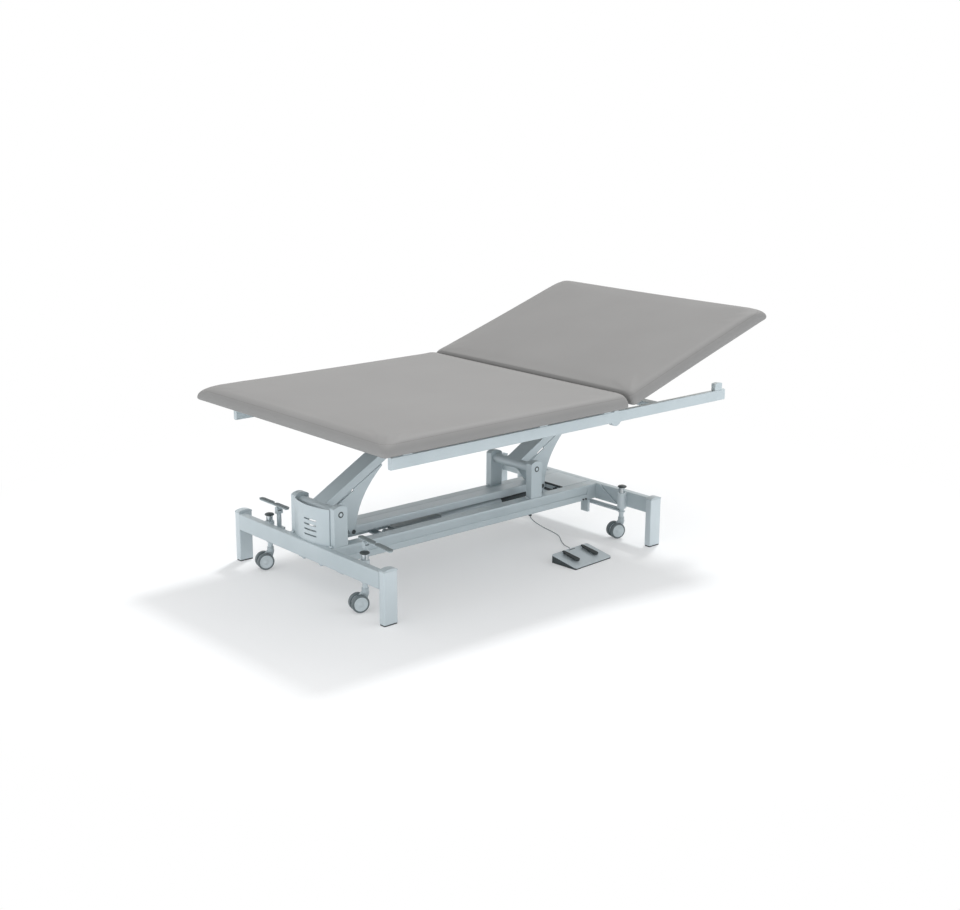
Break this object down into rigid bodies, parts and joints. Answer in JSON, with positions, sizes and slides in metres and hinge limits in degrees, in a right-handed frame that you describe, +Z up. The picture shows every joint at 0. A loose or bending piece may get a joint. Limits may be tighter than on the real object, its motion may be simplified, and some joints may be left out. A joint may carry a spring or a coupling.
{
  "type": "bobath treatment table",
  "caption": "Wide two-section treatment table on a parallel lift, with hinged back section, foot switch and retractable castors.",
  "frame": {"origin": "on the floor, at the middle of the whole table with its back section raised", "axes": "+X toward the head end, -Y toward the foot switch, +Z up"},
  "size_m": [2.0032, 1.2, 0.9471],
  "materials": {
    "frame_paint": "satin silver-grey powder coat",
    "pale_paint": "satin pale grey powder coat",
    "vinyl": "warm grey upholstery vinyl",
    "wood": "birch plywood",
    "rubber": "black ribbed rubber",
    "dark_plastic": "dark grey moulded plastic",
    "cap_plastic": "light grey moulded plastic",
    "bright": "bright plated steel",
    "tyre": "dark grey tyre and hub"
  },
  "bodies": {
    "base": {"end_beams": "frame_paint", "spine_beams": "frame_paint", "legs": "pale_paint", "leg_caps": "cap_plastic", "rubber_feet": "rubber", "pivot_posts": "frame_paint", "base_shafts": "bright", "frame_brackets": "frame_paint", "vent_panel": "frame_paint", "base_cover": "pale_paint", "base_fasteners": "dark_plastic", "control_box": "dark_plastic", "castor_sleeves": "pale_paint", "castor_necks": "bright", "castor_caps": "dark_plastic", "pedal_posts": "frame_paint", "foot_switch_body": "dark_plastic", "foot_switch_plate": "frame_paint", "cord_gland": "dark_plastic", "switch_cord": "rubber"},
    "foot_arm": {"foot_arm": "frame_paint", "foot_cheeks": "frame_paint"},
    "head_arm": {"head_arm": "frame_paint", "head_cheeks": "frame_paint"},
    "tie_link": {"tie_beam": "pale_paint"},
    "upper_frame": {"top_shafts": "bright", "side_rails": "frame_paint", "inner_frame": "frame_paint", "pad_bearers": "frame_paint", "lower_board": "wood", "lower_pad": "vinyl", "frame_hinges": "frame_paint"},
    "ram_body": {"actuator_housing": "dark_plastic", "actuator_tube": "pale_paint"},
    "ram_rod": {"actuator_rod": "bright"},
    "back_section": {"back_board": "wood", "back_pad": "vinyl", "back_hinges": "frame_paint"},
    "gas_body": {"gas_cylinder": "dark_plastic"},
    "gas_piston": {"gas_rod": "bright"},
    "far_rocker": {"far_pedal": "frame_paint", "far_pedal_pads": "rubber"},
    "near_rocker": {"near_pedal": "frame_paint", "near_pedal_pads": "rubber"},
    "far_shaft": {"far_torsion_shaft": "frame_paint"},
    "near_shaft": {"near_torsion_shaft": "frame_paint"},
    "up_button": {"up_pedal": "rubber"},
    "down_button": {"down_pedal": "rubber"},
    "stem_foot_near_body": {"stem_foot_near": "pale_paint"},
    "fork_foot_near_body": {"fork_foot_near": "cap_plastic"},
    "wheels_foot_near_body": {"wheels_foot_near": "tyre"},
    "stem_foot_far_body": {"stem_foot_far": "pale_paint"},
    "fork_foot_far_body": {"fork_foot_far": "cap_plastic"},
    "wheels_foot_far_body": {"wheels_foot_far": "tyre"},
    "stem_head_near_body": {"stem_head_near": "pale_paint"},
    "fork_head_near_body": {"fork_head_near": "cap_plastic"},
    "wheels_head_near_body": {"wheels_head_near": "tyre"},
    "stem_head_far_body": {"stem_head_far": "pale_paint"},
    "fork_head_far_body": {"fork_head_far": "cap_plastic"},
    "wheels_head_far_body": {"wheels_head_far": "tyre"}
  },
  "joints": [
    {"name": "lift", "type": "hinge", "parent": "base", "child": "foot_arm", "pos_m": [-0.84779, 0, 0.317], "axis": [0, -1, 0], "range_deg": [-25, 27]},
    {"name": "head_arm_pivot", "type": "hinge", "parent": "base", "child": "head_arm", "pos_m": [0.13521, 0, 0.317], "axis": [0, -1, 0], "range_deg": [-25, 27]},
    {"name": "tie_pivot", "type": "hinge", "parent": "foot_arm", "child": "tie_link", "pos_m": [-0.72051, 0, 0.2028], "axis": [0, -1, 0], "range_deg": [-27, 25]},
    {"name": "frame_pivot", "type": "hinge", "parent": "foot_arm", "child": "upper_frame", "pos_m": [-0.36957, 0, 0.58867], "axis": [0, -1, 0], "range_deg": [-27, 25]},
    {"name": "ram_pivot", "type": "hinge", "parent": "base", "child": "ram_body", "pos_m": [-0.53079, 0, 0.15], "axis": [0, -1, 0], "range_deg": [-3.4, 3.65]},
    {"name": "ram_stroke", "type": "slide", "parent": "ram_body", "child": "ram_rod", "axis": [0.9997, 0, 0.0262], "range_m": [-0.0636, 0.0687]},
    {"name": "back_hinge", "type": "hinge", "parent": "upper_frame", "child": "back_section", "pos_m": [0.18843, 0, 0.67317], "axis": [0, -1, 0], "range_deg": [-18, 52]},
    {"name": "gas_pivot", "type": "hinge", "parent": "upper_frame", "child": "gas_body", "pos_m": [-0.13152, 0, 0.58867], "axis": [0, -1, 0], "range_deg": [-0.4, 1]},
    {"name": "gas_stroke", "type": "slide", "parent": "gas_body", "child": "gas_piston", "axis": [0.9983, 0, 0.0585], "range_m": [-0.021, 0.06]},
    {"name": "far_pedal_rock", "type": "hinge", "parent": "base", "child": "far_rocker", "pos_m": [-0.83579, 0.288, 0.242], "axis": [-1, 0, 0], "range_deg": [0, 20]},
    {"name": "far_shaft_turn", "type": "hinge", "parent": "base", "child": "far_shaft", "pos_m": [-0.20079, 0.056, 0.118], "axis": [-1, 0, 0], "range_deg": [0, 4.2]},
    {"name": "foot_far_drop", "type": "slide", "parent": "base", "child": "stem_foot_far_body", "axis": [0, 0, -1], "range_m": [0, 0.018]},
    {"name": "head_far_drop", "type": "slide", "parent": "base", "child": "stem_head_far_body", "axis": [0, 0, -1], "range_m": [0, 0.018]},
    {"name": "near_pedal_rock", "type": "hinge", "parent": "base", "child": "near_rocker", "pos_m": [-0.83579, -0.272, 0.242], "axis": [1, 0, 0], "range_deg": [0, 20]},
    {"name": "near_shaft_turn", "type": "hinge", "parent": "base", "child": "near_shaft", "pos_m": [-0.20079, -0.056, 0.118], "axis": [1, 0, 0], "range_deg": [0, 4.2]},
    {"name": "foot_near_drop", "type": "slide", "parent": "base", "child": "stem_foot_near_body", "axis": [0, 0, -1], "range_m": [0, 0.018]},
    {"name": "head_near_drop", "type": "slide", "parent": "base", "child": "stem_head_near_body", "axis": [0, 0, -1], "range_m": [0, 0.018]},
    {"name": "foot_near_swivel", "type": "hinge", "parent": "stem_foot_near_body", "child": "fork_foot_near_body", "pos_m": [-0.86779, -0.306, 0.09], "axis": [0, 0, 1], "continuous": true},
    {"name": "foot_near_wheel", "type": "hinge", "parent": "fork_foot_near_body", "child": "wheels_foot_near_body", "pos_m": [-0.89182, -0.29911, 0.0355], "axis": [0.2756, 0.9613, 0], "continuous": true},
    {"name": "foot_far_swivel", "type": "hinge", "parent": "stem_foot_far_body", "child": "fork_foot_far_body", "pos_m": [-0.86779, 0.306, 0.09], "axis": [0, 0, 1], "continuous": true},
    {"name": "foot_far_wheel", "type": "hinge", "parent": "fork_foot_far_body", "child": "wheels_foot_far_body", "pos_m": [-0.89182, 0.31289, 0.0355], "axis": [0.2756, 0.9613, 0], "continuous": true},
    {"name": "head_near_swivel", "type": "hinge", "parent": "stem_head_near_body", "child": "fork_head_near_body", "pos_m": [0.46621, -0.306, 0.09], "axis": [0, 0, 1], "continuous": true},
    {"name": "head_near_wheel", "type": "hinge", "parent": "fork_head_near_body", "child": "wheels_head_near_body", "pos_m": [0.44218, -0.29911, 0.0355], "axis": [0.2756, 0.9613, 0], "continuous": true},
    {"name": "head_far_swivel", "type": "hinge", "parent": "stem_head_far_body", "child": "fork_head_far_body", "pos_m": [0.46621, 0.306, 0.09], "axis": [0, 0, 1], "continuous": true},
    {"name": "head_far_wheel", "type": "hinge", "parent": "fork_head_far_body", "child": "wheels_head_far_body", "pos_m": [0.44218, 0.31289, 0.0355], "axis": [0.2756, 0.9613, 0], "continuous": true},
    {"name": "up_button_press", "type": "hinge", "parent": "base", "child": "up_button", "pos_m": [0.06473, -0.37441, 0.03518], "axis": [0.9981, 0.061, 0], "range_deg": [0, 2.5], "stiffness_Nm_per_rad": 2, "springref_deg": -1.15},
    {"name": "down_button_press", "type": "hinge", "parent": "base", "child": "down_button", "pos_m": [0.1758, -0.36761, 0.03518], "axis": [0.9981, 0.061, 0], "range_deg": [0, 2.5], "stiffness_Nm_per_rad": 2, "springref_deg": -1.15}
  ],
  "couplings": [
    {"joint": "head_arm_pivot", "follows": "lift", "ratio": 1},
    {"joint": "tie_pivot", "follows": "lift", "ratio": -1},
    {"joint": "frame_pivot", "follows": "lift", "ratio": -1},
    {"joint": "ram_pivot", "follows": "lift", "ratio": 0.135},
    {"joint": "ram_stroke", "follows": "lift", "m_per_rad": 0.1455},
    {"joint": "gas_pivot", "follows": "back_hinge", "ratio": 0.017},
    {"joint": "gas_stroke", "follows": "back_hinge", "m_per_rad": 0.0656},
    {"joint": "far_shaft_turn", "follows": "far_pedal_rock", "ratio": 0.206},
    {"joint": "foot_far_drop", "follows": "far_pedal_rock", "m_per_rad": 0.0515},
    {"joint": "head_far_drop", "follows": "far_pedal_rock", "m_per_rad": 0.0515},
    {"joint": "near_shaft_turn", "follows": "near_pedal_rock", "ratio": 0.206},
    {"joint": "foot_near_drop", "follows": "near_pedal_rock", "m_per_rad": 0.0515},
    {"joint": "head_near_drop", "follows": "near_pedal_rock", "m_per_rad": 0.0515}
  ]
}
